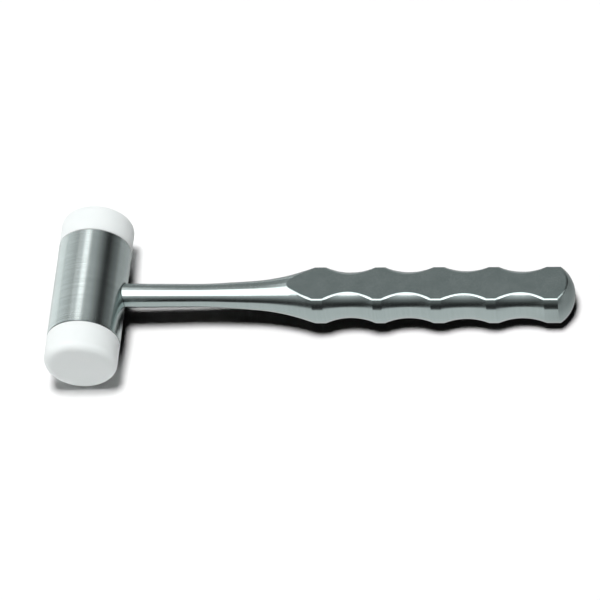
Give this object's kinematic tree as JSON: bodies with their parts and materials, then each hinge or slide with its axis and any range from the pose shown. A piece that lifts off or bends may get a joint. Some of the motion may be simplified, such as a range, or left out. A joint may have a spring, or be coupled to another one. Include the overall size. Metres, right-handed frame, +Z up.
{
  "type": "surgical mallet",
  "caption": "Steel surgical mallet: cylindrical head with nylon striking caps, on a turned handle whose flattened grip has finger rests.",
  "frame": {"origin": "on the surface that the mallet lies on, under the middle of its bounding box", "axes": "+X along the mallet towards the tip of the grip, +Y along the head towards the rear cap, +Z up. The mallet lies at rest on the side of its head and on the far edge of the grip's lower flat, so the handle falls about two degrees towards its tip"},
  "size_m": [0.2288, 0.0776, 0.032],
  "materials": {
    "head_steel": "satin, brushed round the head",
    "handle_steel": "satin, turned neck and grip sides, lengthwise brushed flats",
    "nylon": "white, satin, slightly translucent",
    "pin_steel": "ground"
  },
  "bodies": {
    "root": {"head_body": "head_steel", "handle": "handle_steel", "front_cap": "nylon", "rear_cap": "nylon", "tenon_pin": "pin_steel"}
  },
  "joints": []
}
